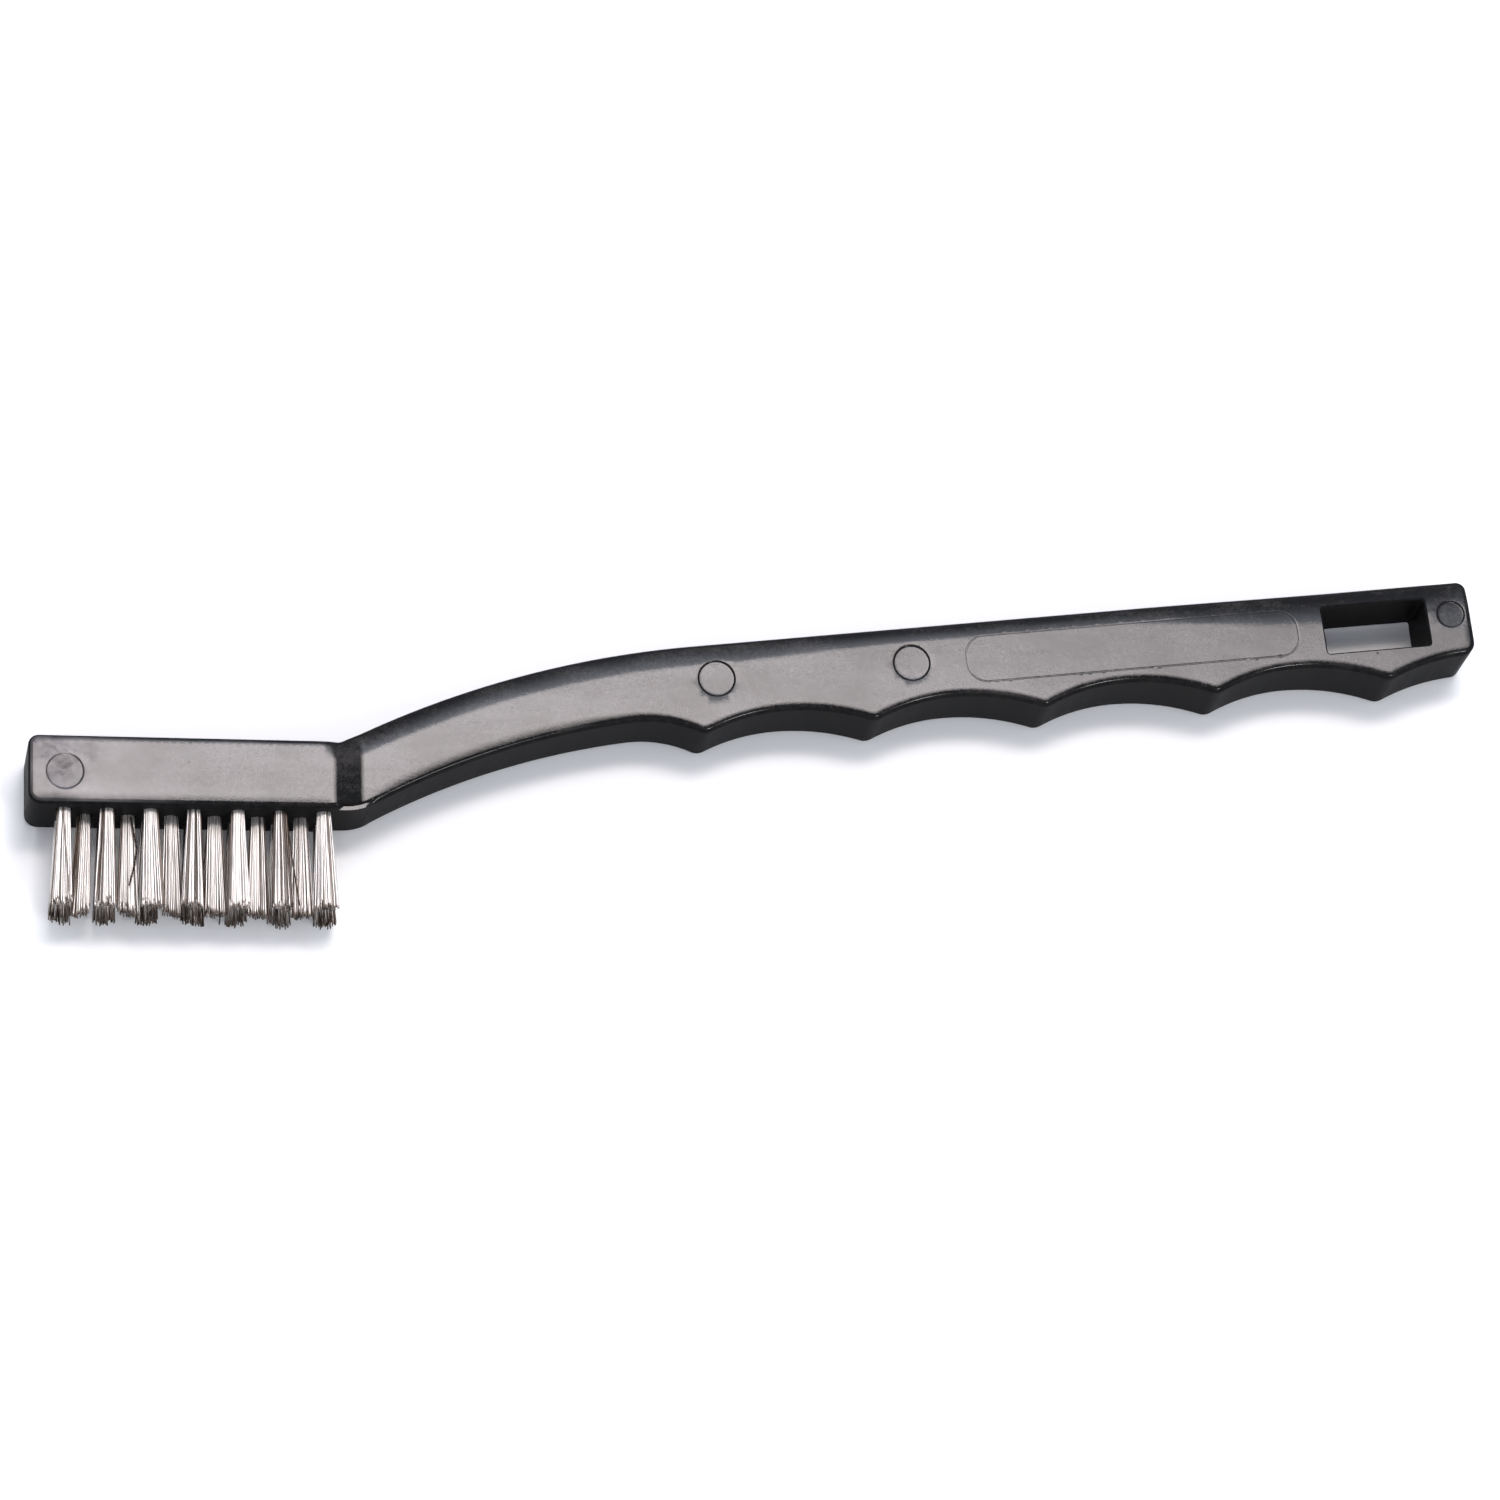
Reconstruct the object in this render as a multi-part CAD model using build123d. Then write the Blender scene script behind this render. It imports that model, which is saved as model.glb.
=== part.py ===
from build123d import *
import math
import os

# Wire brush: one moulded plastic handle, twenty tufts of stainless wire in three
# staggered rows, and the flat metal anchor that staples each tuft into its hole.
#
# Design frame, in millimetres: x runs from the nose towards the hanging end, the
# bristle face is y = 0 with the wires pointing to -y, and z = 0 is the mid plane
# between the two broad flanks. The finished parts are then moved so that the brush
# lies on its flank with the origin under the middle of its bounding box.

# Head block
HEAD_HEIGHT = 8.95
HEAD_HEIGHT_AT_NECK = 8.75
HEAD_THICKNESS = 10.8
NOSE_BACK_RADIUS = 1.3
NOSE_FACE_RADIUS = 1.6

# Step in the flanks between the head and the slimmer handle
STEP_START = 38.1
STEP_END = 41.6
STEP_BLEND_RADIUS = 1.5
NECK_THICKNESS = 9.1
TAIL_THICKNESS = 10.2

# Back of the handle: an arc that rises from the head, then a straight grip
GRIP_ANGLE = 6.15
GRIP_START = (83.6, 22.62)
GRIP_LENGTH = 100.1
BACK_RADIUS = 123.8
NOTCH_RADIUS = 2.0

# Underside of the neck, up to the first finger cusp
UNDERSIDE_END = 39.6
NECK_ROOT_RADIUS = 7.0
NECK_ROOT_ANGLE = 29.1
NECK_ARC_RADIUS = 98.9
NECK_ARC_END_ANGLE = 9.0

# Finger grooves: pointed cusps with a scooped groove after each one
CUSP_COUNT = 5
CUSP_PITCH = 21.6
CUSP_PITCH_GROWTH = 0.125
CUSP_HEIGHT = 11.97
CUSP_HEIGHT_GROWTH = 0.175
GROOVE_HEIGHT = 9.68
GROOVE_HEIGHT_GROWTH = 0.08
GROOVE_APEX_SHARE = 0.47
CUSP_RADIUS = 1.8
TAIL_BACK_RADIUS = 1.4
TAIL_FACE_RADIUS = 1.8

# Rounding of the long edges between the flanks and the rim of the handle. An edge is
# on the rim if it lies this near to a flank; one this square to x crosses the step.
EDGE_RADIUS = 0.6
RIM_TOLERANCE = 0.2
STEP_MARGIN = 1.0
SQUARE_ACROSS = 0.99

# Hanging hole, a plain rectangular window through both flanks
HANG_HOLE_LENGTH = 13.5
HANG_HOLE_WIDTH = 6.3
HANG_HOLE_FROM_START = 87.6
HANG_HOLE_BELOW_BACK = 5.35
HANG_HOLE_CORNER_RADIUS = 0.35
HANG_HOLE_LIP = 0.2
HANG_HOLE_LIP_ANGLE = 45

# Shallow marks that the mould leaves on the upper flank
PIN_MARK_DEPTH = 0.12
PIN_MARK_DIAMETER = 4.8
HEAD_PIN_MARK = (4.55, 4.15)
# Marks on the grip: distance along the back, distance below it, diameter
GRIP_PIN_MARKS = [(2.3, 4.85, 4.8), (27.3, 5.0, 4.8), (97.5, 4.65, 3.7)]
INSERT_LENGTH = 43.0
INSERT_WIDTH = 6.1
INSERT_CORNER_RADIUS = 2.5
INSERT_LINE_WIDTH = 0.16
INSERT_LINE_DEPTH = 0.06
INSERT_FROM_START = 55.9
INSERT_BELOW_BACK = 5.25

# Bristle field: two outer rows of seven tufts and a staggered middle row of six
TUFT_PITCH = 5.4
FIRST_TUFT = 4.5
ROW_PITCH = 2.7
OUTER_ROW_COUNT = 7
MIDDLE_ROW_COUNT = 6
TRIM = 12.7
HOLE_DIAMETER = 2.0
HOLE_DEPTH = 5.6
DRILL_POINT_ANGLE = 118
HOLE_OVERRUN = 1.0
BUNDLE_DIAMETER = 1.9
BUNDLE_TIP_DIAMETER = 3.0
BUNDLE_ROOT_DEPTH = 5.4
BUNDLE_ROOT_ROUNDING = 0.4
BUNDLE_TIP_ROUNDING = 0.3

# Anchor: a short piece of flat wire set across the hole, under the folded bristles
ANCHOR_LENGTH = 2.4
ANCHOR_HEIGHT = 1.2
ANCHOR_THICKNESS = 0.35
ANCHOR_TOP_DEPTH = 4.7
ANCHOR_CLEARANCE = 0.02


def along_back(distance, below):
    """Point of the grip, measured along its straight back and square down from it."""
    angle = math.radians(GRIP_ANGLE)
    x = GRIP_START[0] + distance * math.cos(angle) + below * math.sin(angle)
    y = GRIP_START[1] + distance * math.sin(angle) - below * math.cos(angle)
    return (x, y)


def cusp_distance(index):
    return CUSP_PITCH * index + CUSP_PITCH_GROWTH * index**2


def cusp_point(index):
    return along_back(cusp_distance(index), CUSP_HEIGHT + CUSP_HEIGHT_GROWTH * index)


def groove_apex(index):
    """Highest point of the finger groove that follows cusp number index."""
    start = cusp_distance(index)
    reach = GROOVE_APEX_SHARE * (cusp_distance(index + 1) - start)
    return along_back(start + reach, GROOVE_HEIGHT + GROOVE_HEIGHT_GROWTH * (index + 1))


def arc_step(start, radius, from_angle, to_angle, bend):
    """End of an arc that turns between two headings; bend is 1 to the left, -1 right."""
    a = math.radians(from_angle)
    b = math.radians(to_angle)
    x = start[0] + bend * radius * (math.sin(b) - math.sin(a))
    y = start[1] + bend * radius * (math.cos(a) - math.cos(b))
    return (x, y)


def heading(angle):
    return (math.cos(math.radians(angle)), math.sin(math.radians(angle)))


def notch_point():
    """Where the arc of the back meets the top of the head."""
    drop = GRIP_START[1] - HEAD_HEIGHT_AT_NECK
    cosine = math.cos(math.radians(GRIP_ANGLE)) - drop / BACK_RADIUS
    angle = math.acos(cosine)
    x = GRIP_START[0] - BACK_RADIUS * (math.sin(angle) - math.sin(math.radians(GRIP_ANGLE)))
    return (x, HEAD_HEIGHT_AT_NECK)


def underside_edges():
    """Bristle face, neck and the lead-in up to the first cusp."""
    root = (UNDERSIDE_END, 0.0)
    neck = arc_step(root, NECK_ROOT_RADIUS, 0.0, NECK_ROOT_ANGLE, 1)
    lead = arc_step(neck, NECK_ARC_RADIUS, NECK_ROOT_ANGLE, NECK_ARC_END_ANGLE, -1)
    return [
        Line((0, 0), root),
        TangentArc(root, neck, tangent=heading(0.0)),
        TangentArc(neck, lead, tangent=heading(NECK_ROOT_ANGLE)),
        TangentArc(lead, cusp_point(0), tangent=heading(NECK_ARC_END_ANGLE)),
    ]


def groove_edges():
    """Scooped grooves between neighbouring cusps, each of two arcs tangent at its apex."""
    edges = []
    for index in range(CUSP_COUNT - 1):
        apex = groove_apex(index)
        edges.append(TangentArc(apex, cusp_point(index), tangent=heading(GRIP_ANGLE + 180.0)))
        edges.append(TangentArc(apex, cusp_point(index + 1), tangent=heading(GRIP_ANGLE)))
    return edges


def tail_face_corner():
    """Corner of the hanging end where the last half groove runs out."""
    return along_back(GRIP_LENGTH, GROOVE_HEIGHT + GROOVE_HEIGHT_GROWTH * CUSP_COUNT)


def tail_edges():
    """Last half groove, the square end and the straight back."""
    face_corner = tail_face_corner()
    back_corner = along_back(GRIP_LENGTH, 0.0)
    return [
        TangentArc(face_corner, cusp_point(CUSP_COUNT - 1), tangent=heading(GRIP_ANGLE + 180.0)),
        Line(face_corner, back_corner),
        Line(back_corner, GRIP_START),
    ]


def back_edges():
    """Arc of the back and the top of the head, down to the nose."""
    notch = notch_point()
    return [
        TangentArc(GRIP_START, notch, tangent=heading(GRIP_ANGLE + 180.0)),
        Line(notch, (0, HEAD_HEIGHT)),
        Line((0, HEAD_HEIGHT), (0, 0)),
    ]


def vertex_near(shape, point):
    return shape.vertices().sort_by_distance(Vector(point[0], point[1], 0))[0]


def side_outline():
    """Outline of the handle seen square on to its flank."""
    edges = underside_edges() + groove_edges() + tail_edges() + back_edges()
    face = make_face(edges)
    corners = [
        ((0, 0), NOSE_FACE_RADIUS),
        ((0, HEAD_HEIGHT), NOSE_BACK_RADIUS),
        (notch_point(), NOTCH_RADIUS),
        (along_back(GRIP_LENGTH, 0.0), TAIL_BACK_RADIUS),
        (tail_face_corner(), TAIL_FACE_RADIUS),
    ]
    corners += [(cusp_point(index), CUSP_RADIUS) for index in range(CUSP_COUNT)]
    for point, radius in corners:
        face = fillet(vertex_near(face, point), radius)
    return face


def half_thickness(x):
    """Distance from the mid plane to the handle's flank, behind the step."""
    tail = along_back(GRIP_LENGTH, 0.0)[0]
    share = (x - STEP_END) / (tail - STEP_END)
    return (NECK_THICKNESS + share * (TAIL_THICKNESS - NECK_THICKNESS)) / 2


def thickness_outline():
    """Outline of the handle seen along -y: head, step and slowly widening handle."""
    beyond_tail = along_back(GRIP_LENGTH, 0.0)[0] + HEAD_THICKNESS
    half = [
        (-HEAD_THICKNESS, HEAD_THICKNESS / 2),
        (STEP_START, HEAD_THICKNESS / 2),
        (STEP_END, NECK_THICKNESS / 2),
        (beyond_tail, half_thickness(beyond_tail)),
    ]
    mirrored = [(x, -z) for x, z in reversed(half)]
    face = make_face(Polyline(*half, *mirrored, close=True))
    for point in half[1:3] + mirrored[1:3]:
        face = fillet(vertex_near(face, point), STEP_BLEND_RADIUS)
    return face


def on_rim(edge):
    """True for an edge between a flank and the rim, false for one across a flank."""
    middle = edge.center()
    beside_flank = abs(middle.Z) > NECK_THICKNESS / 2 - RIM_TOLERANCE
    at_step = STEP_START - STEP_MARGIN < middle.X < STEP_END + STEP_MARGIN
    crosses_flank = at_step and abs(edge.tangent_at(0.5).Y) > SQUARE_ACROSS
    return beside_flank and not crosses_flank


def handle_blank():
    """Handle before any hole is made in it, with its long edges rounded."""
    side = extrude(side_outline(), HEAD_THICKNESS, both=True)
    plan = extrude(Plane.XZ * thickness_outline(), GRIP_LENGTH, both=True)
    blank = side & plan
    return fillet(blank.edges().filter_by(on_rim), EDGE_RADIUS)


def grip_plane(distance, below, height):
    """Plane over the upper flank with its x axis along the back of the grip."""
    x, y = along_back(distance, below)
    direction = heading(GRIP_ANGLE)
    return Plane(origin=(x, y, height), x_dir=(direction[0], direction[1], 0), z_dir=(0, 0, 1))


def hang_hole_cutter():
    """Rectangular window with softened corners and softened lips on both flanks."""
    plane = grip_plane(HANG_HOLE_FROM_START, HANG_HOLE_BELOW_BACK, 0.0)
    window = RectangleRounded(HANG_HOLE_LENGTH, HANG_HOLE_WIDTH, HANG_HOLE_CORNER_RADIUS)
    cutter = extrude(plane * window, HEAD_THICKNESS, both=True)
    flank = half_thickness(plane.origin.X)
    for side in (1, -1):
        lip_plane = plane.offset(side * (flank + HANG_HOLE_LIP))
        wide = offset(window, 2 * HANG_HOLE_LIP)
        cutter += extrude(lip_plane * wide, -side * 2 * HANG_HOLE_LIP, taper=HANG_HOLE_LIP_ANGLE)
    return cutter


def pin_mark_cutters():
    """Round recesses left by the ejector pins: one on the head, three on the grip."""
    nose_mark = Plane(origin=(*HEAD_PIN_MARK, HEAD_THICKNESS / 2 - PIN_MARK_DEPTH))
    cutters = [extrude(nose_mark * Circle(PIN_MARK_DIAMETER / 2), HEAD_THICKNESS)]
    for distance, below, diameter in GRIP_PIN_MARKS:
        height = half_thickness(along_back(distance, below)[0]) - PIN_MARK_DEPTH
        plane = grip_plane(distance, below, height)
        cutters.append(extrude(plane * Circle(diameter / 2), HEAD_THICKNESS))
    return cutters


def insert_line_cutter():
    """Fine witness line round the mould insert of the grip."""
    x = along_back(INSERT_FROM_START, INSERT_BELOW_BACK)[0]
    plane = grip_plane(INSERT_FROM_START, INSERT_BELOW_BACK, half_thickness(x) - INSERT_LINE_DEPTH)
    outer = RectangleRounded(INSERT_LENGTH, INSERT_WIDTH, INSERT_CORNER_RADIUS)
    line = outer - offset(outer, -INSERT_LINE_WIDTH)
    return extrude(plane * line, HEAD_THICKNESS)


def tuft_places():
    """Node suffix and mouth centre (x, z) of every tuft, row by row."""
    rows = [
        ("front", OUTER_ROW_COUNT, FIRST_TUFT, ROW_PITCH),
        ("middle", MIDDLE_ROW_COUNT, FIRST_TUFT + TUFT_PITCH / 2, 0.0),
        ("rear", OUTER_ROW_COUNT, FIRST_TUFT, -ROW_PITCH),
    ]
    places = []
    for name, count, first, z in rows:
        for index in range(count):
            places.append((f"{name}_{index + 1}", first + index * TUFT_PITCH, z))
    return places


def revolved(points):
    """Solid turned round the y axis from a profile of (radius, y) points."""
    return revolve(make_face(Polyline(*points, close=True)), Axis.Y)


def bristle_hole():
    """Drilled blind hole with its drill point, and the slits the anchor cuts beside it."""
    radius = HOLE_DIAMETER / 2
    drill_point = HOLE_DEPTH + radius * math.tan(math.radians(90 - DRILL_POINT_ANGLE / 2))
    mouth = -HOLE_OVERRUN
    bore = revolved([(0, mouth), (radius, mouth), (radius, HOLE_DEPTH), (0, drill_point)])
    top = ANCHOR_TOP_DEPTH + ANCHOR_CLEARANCE
    slit = Pos(0, (top + mouth) / 2, 0) * Box(
        ANCHOR_LENGTH + 2 * ANCHOR_CLEARANCE, top - mouth, ANCHOR_THICKNESS + 2 * ANCHOR_CLEARANCE
    )
    return bore + slit


def anchor():
    middle = ANCHOR_TOP_DEPTH - ANCHOR_HEIGHT / 2
    return Pos(0, middle, 0) * Box(ANCHOR_LENGTH, ANCHOR_HEIGHT, ANCHOR_THICKNESS)


def tuft():
    """Outer shape of one tuft: folded root over the anchor, then flaring to the tips."""
    root = BUNDLE_DIAMETER / 2
    tip = BUNDLE_TIP_DIAMETER / 2
    bundle = revolved(
        [
            (0, BUNDLE_ROOT_DEPTH),
            (root - BUNDLE_ROOT_ROUNDING, BUNDLE_ROOT_DEPTH),
            (root, BUNDLE_ROOT_DEPTH - BUNDLE_ROOT_ROUNDING),
            (root, 0),
            (tip, -TRIM + BUNDLE_TIP_ROUNDING),
            (tip - BUNDLE_TIP_ROUNDING, -TRIM),
            (0, -TRIM),
        ]
    )
    middle = ANCHOR_TOP_DEPTH - ANCHOR_HEIGHT / 2
    slot = Pos(0, middle, 0) * Box(
        2 * ANCHOR_LENGTH, ANCHOR_HEIGHT + 2 * ANCHOR_CLEARANCE, ANCHOR_THICKNESS + 2 * ANCHOR_CLEARANCE
    )
    return bundle - slot


def handle():
    solid = handle_blank() - hang_hole_cutter() - insert_line_cutter()
    for cutter in pin_mark_cutters():
        solid -= cutter
    hole = bristle_hole()
    for _, x, z in tuft_places():
        solid -= Pos(x, 0, z) * hole
    return solid


def whole_brush():
    """Every piece by node name, in the design frame."""
    parts = {"handle": handle()}
    one_tuft = tuft()
    one_anchor = anchor()
    for suffix, x, z in tuft_places():
        parts[f"tuft_{suffix}"] = Pos(x, 0, z) * one_tuft
        parts[f"anchor_{suffix}"] = Pos(x, 0, z) * one_anchor
    return parts


brush = whole_brush()
box = Compound(children=[Compound(piece.wrapped) for piece in brush.values()]).bounding_box()
to_origin = Pos(-box.center().X, -box.center().Y, -box.min.Z)
os.makedirs("parts", exist_ok=True)
for node, piece in brush.items():
    export_step(to_origin * piece, f"parts/{node}.step")
print(f"{len(brush)} nodes, box {box.size}, moved by {to_origin.position}")
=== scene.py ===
import math

import bmesh
import bpy
import numpy as np
from mathutils import Matrix, Vector
from mathutils.geometry import delaunay_2d_cdt


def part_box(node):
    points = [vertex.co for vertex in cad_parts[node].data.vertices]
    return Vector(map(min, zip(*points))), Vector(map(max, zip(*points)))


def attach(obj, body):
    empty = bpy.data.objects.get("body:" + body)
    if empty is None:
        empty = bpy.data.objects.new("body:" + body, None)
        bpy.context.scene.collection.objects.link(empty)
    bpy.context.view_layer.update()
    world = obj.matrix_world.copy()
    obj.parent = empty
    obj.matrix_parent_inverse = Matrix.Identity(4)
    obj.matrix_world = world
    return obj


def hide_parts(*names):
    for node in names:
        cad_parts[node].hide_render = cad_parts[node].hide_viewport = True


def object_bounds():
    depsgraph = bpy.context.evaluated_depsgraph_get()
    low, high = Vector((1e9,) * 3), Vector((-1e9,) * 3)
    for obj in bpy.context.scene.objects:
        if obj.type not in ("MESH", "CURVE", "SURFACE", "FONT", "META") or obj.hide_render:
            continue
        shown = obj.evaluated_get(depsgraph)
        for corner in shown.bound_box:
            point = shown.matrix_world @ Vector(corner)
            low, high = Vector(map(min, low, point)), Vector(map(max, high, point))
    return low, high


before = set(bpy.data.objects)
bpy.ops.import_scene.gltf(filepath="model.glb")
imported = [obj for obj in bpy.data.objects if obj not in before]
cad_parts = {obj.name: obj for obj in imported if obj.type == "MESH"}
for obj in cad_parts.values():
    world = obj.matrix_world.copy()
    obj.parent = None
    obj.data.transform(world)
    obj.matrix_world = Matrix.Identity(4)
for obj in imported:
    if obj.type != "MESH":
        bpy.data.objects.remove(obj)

CAD_LOW, CAD_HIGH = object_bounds()
MM = 0.001

# The handle is worked out in the part's design frame, in millimetres: x from the nose,
# y = 0 on the bristle face, z = 0 on the mid plane. ORIGIN takes it to the row frame.
HANDLE_LOW, HANDLE_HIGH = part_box("handle")
ORIGIN = np.array([HANDLE_LOW.x, HANDLE_LOW.y, (HANDLE_LOW.z + HANDLE_HIGH.z) / 2])

# ---------------------------------------------------------------- camera
CAMERA_AZIMUTH = -23.87
CAMERA_ELEVATION = 70.49
CAMERA_ROLL = 23.66
CAMERA_DISTANCE = 1083.9 * MM
CAMERA_LENS = 206.4
CAMERA_AIM = Vector((-0.95, -0.06, 5.4)) * MM


def direction(azimuth, elevation):
    """Unit vector from the object towards a camera at that azimuth and elevation."""
    a, e = math.radians(azimuth), math.radians(elevation)
    return Vector((math.sin(a) * math.cos(e), -math.cos(a) * math.cos(e), math.sin(e)))


def make_camera():
    data = bpy.data.cameras.new("camera")
    data.lens = CAMERA_LENS
    data.clip_end = 20
    camera = bpy.data.objects.new("camera", data)
    bpy.context.scene.collection.objects.link(camera)
    back = direction(CAMERA_AZIMUTH, CAMERA_ELEVATION)
    roll = Matrix.Rotation(math.radians(CAMERA_ROLL), 3, "Z").to_quaternion()
    camera.rotation_mode = "QUATERNION"
    camera.rotation_quaternion = back.to_track_quat("Z", "Y") @ roll
    camera.location = CAMERA_AIM + back * CAMERA_DISTANCE
    bpy.context.scene.camera = camera


# ---------------------------------------------------------------- outline of the handle
# The driving sizes are the ones of the handle's CAD node.
HEAD_HEIGHT = 8.95
HEAD_HEIGHT_AT_NECK = 8.75
HEAD_HALF = 5.4
NOSE_BACK_RADIUS = 1.3
NOSE_FACE_RADIUS = 1.6
STEP_START = 38.1
STEP_END = 41.6
STEP_BLEND = 0.42
NECK_HALF = 4.55
TAIL_HALF = 5.1
GRIP_ANGLE = math.radians(6.15)
GRIP_START = np.array([83.6, 22.62])
GRIP_LENGTH = 100.1
TAIL_HEIGHT = 10.08
BACK_RADIUS = 123.8
NOTCH_RADIUS = 2.0
UNDERSIDE_END = 39.6
NECK_ROOT_RADIUS = 7.0
NECK_ROOT_ANGLE = math.radians(29.1)
NECK_ARC_RADIUS = 98.9
NECK_ARC_END_ANGLE = math.radians(9.0)
CUSP_COUNT = 5
CUSP_RADIUS = 1.8
CUSP_PITCH = 21.6
CUSP_PITCH_GROWTH = 0.125
CUSP_HEIGHT = 11.97
CUSP_HEIGHT_GROWTH = 0.175
APEX_SHARE = 0.47
APEX_HEIGHT = 9.76
APEX_HEIGHT_GROWTH = 0.08
TAIL_BACK_RADIUS = 1.4
TAIL_FACE_RADIUS = 1.8
# Spacing of the rows while the outline is worked out, and of the ones that are kept
FINE = 0.02
EDGE_SPACING = 0.5
STEP_SPACING = 0.12
STEP_MARGIN = 0.6
CORNER_REACH = 500
CORNER_ROWS = 60
CORNER_STRIDE = 4


def along_back(distance, below):
    """Point of the grip, measured along its straight back and square down from it."""
    cosine, sine = math.cos(GRIP_ANGLE), math.sin(GRIP_ANGLE)
    return GRIP_START + [distance * cosine + below * sine, distance * sine - below * cosine]


def cusp_distance(index):
    return CUSP_PITCH * index + CUSP_PITCH_GROWTH * index**2


def cusp_point(index):
    return along_back(cusp_distance(index), CUSP_HEIGHT + CUSP_HEIGHT_GROWTH * index)


def groove_apex(index):
    """Shallowest point of the finger groove between two cusps."""
    start = cusp_distance(index)
    distance = start + APEX_SHARE * (cusp_distance(index + 1) - start)
    return along_back(distance, APEX_HEIGHT + APEX_HEIGHT_GROWTH * index)


def line(start, end):
    """Rows of (x, y, heading) along a straight edge, closely spaced."""
    start, end = np.array(start, float), np.array(end, float)
    length = np.linalg.norm(end - start)
    share = np.linspace(0, 1, max(int(length / FINE), 2))[:, None]
    angle = math.atan2(end[1] - start[1], end[0] - start[0])
    return np.hstack([start + (end - start) * share, np.full(share.shape, angle)])


def arc(start, end, heading):
    """Rows of (x, y, heading) along the arc that leaves start in the given heading."""
    start, end = np.array(start, float), np.array(end, float)
    chord = end - start
    half_turn = math.remainder(math.atan2(chord[1], chord[0]) - heading, 2 * math.pi)
    radius = np.linalg.norm(chord) / (2 * math.sin(half_turn))
    share = np.linspace(0, 1, max(int(abs(2 * half_turn * radius) / FINE), 2))
    angle = heading + 2 * half_turn * share
    x = start[0] + radius * (np.sin(angle) - math.sin(heading))
    y = start[1] - radius * (np.cos(angle) - math.cos(heading))
    return np.stack([x, y, angle], 1)


def reverse(rows):
    """The same edge, run the other way."""
    return rows[::-1] + [0, 0, math.pi]


def arc_end(start, radius, from_angle, to_angle, bend):
    """End of an arc between two headings; bend is 1 to the left, -1 to the right."""
    x = start[0] + bend * radius * (math.sin(to_angle) - math.sin(from_angle))
    y = start[1] + bend * radius * (math.cos(from_angle) - math.cos(to_angle))
    return (x, y)


def inward(rows):
    """Unit vectors square to the edge, into the flank."""
    return np.stack([-np.sin(rows[:, 2]), np.cos(rows[:, 2])], 1)


def round_corner(before, after, radius, turn):
    """Trims two edges and joins them with an arc; turn is 1 for an outer corner."""
    a, b = before[-CORNER_REACH:], after[:CORNER_REACH]
    centres_a = a[:, :2] + turn * radius * inward(a)
    centres_b = b[:, :2] + turn * radius * inward(b)
    gap = np.linalg.norm(centres_a[:, None] - centres_b[None], axis=2)
    i, j = np.unravel_index(gap.argmin(), gap.shape)
    before = before[: len(before) - len(a) + i + 1]
    after = after[j:]
    start = before[-1, 2]
    sweep = math.remainder(after[0, 2] - start, 2 * math.pi)
    angle = start + sweep * np.linspace(0, 1, CORNER_ROWS)
    centre = before[-1, :2] + turn * radius * inward(before[-1:])[0]
    normal = np.stack([-np.sin(angle), np.cos(angle)], 1)
    bend = np.hstack([centre - turn * radius * normal, angle[:, None]])
    return before, bend, after


def outline_edges():
    """Edges of the flank's outline, counter-clockwise from the nose along the face."""
    root = (UNDERSIDE_END, 0.0)
    neck = arc_end(root, NECK_ROOT_RADIUS, 0.0, NECK_ROOT_ANGLE, 1)
    lead = arc_end(neck, NECK_ARC_RADIUS, NECK_ROOT_ANGLE, NECK_ARC_END_ANGLE, -1)
    cosine = math.cos(GRIP_ANGLE) - (GRIP_START[1] - HEAD_HEIGHT_AT_NECK) / BACK_RADIUS
    notch_x = GRIP_START[0] - BACK_RADIUS * (math.sin(math.acos(cosine)) - math.sin(GRIP_ANGLE))
    notch = (notch_x, HEAD_HEIGHT_AT_NECK)
    face = line((0, 0), root)
    under = [arc(root, neck, 0.0), arc(neck, lead, NECK_ROOT_ANGLE)]
    under = np.vstack(under + [arc(lead, cusp_point(0), NECK_ARC_END_ANGLE)])
    edges = [("face", face, None), ("under", under, None)]
    tail_corner = along_back(GRIP_LENGTH, TAIL_HEIGHT)
    for index in range(CUSP_COUNT):
        apex = groove_apex(index)
        if index < CUSP_COUNT - 1:
            falling = reverse(arc(apex, cusp_point(index), GRIP_ANGLE + math.pi))
            groove = np.vstack([falling, arc(apex, cusp_point(index + 1), GRIP_ANGLE)])
        else:
            groove = reverse(arc(tail_corner, cusp_point(index), GRIP_ANGLE + math.pi))
        edges.append(("groove", groove, (CUSP_RADIUS, 1)))
    tail = line(tail_corner, along_back(GRIP_LENGTH, 0))
    back = line(along_back(GRIP_LENGTH, 0), GRIP_START)
    back = np.vstack([back, arc(GRIP_START, notch, GRIP_ANGLE + math.pi)])
    edges.append(("tail", tail, (TAIL_FACE_RADIUS, 1)))
    edges.append(("back", back, (TAIL_BACK_RADIUS, 1)))
    edges.append(("top", line(notch, (0, HEAD_HEIGHT)), (NOTCH_RADIUS, -1)))
    edges.append(("nose", line((0, HEAD_HEIGHT), (0, 0)), (NOSE_BACK_RADIUS, 1)))
    return edges


def thin_out(rows):
    """Fewer rows, and closer together where the thickness steps."""
    kept = [0]
    for i in range(1, len(rows) - 1):
        near_step = STEP_START - STEP_MARGIN < rows[i, 0] < STEP_END + STEP_MARGIN
        wanted = STEP_SPACING if near_step else EDGE_SPACING
        if np.linalg.norm(rows[i, :2] - rows[kept[-1], :2]) >= wanted:
            kept.append(i)
    return rows[kept]


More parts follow.
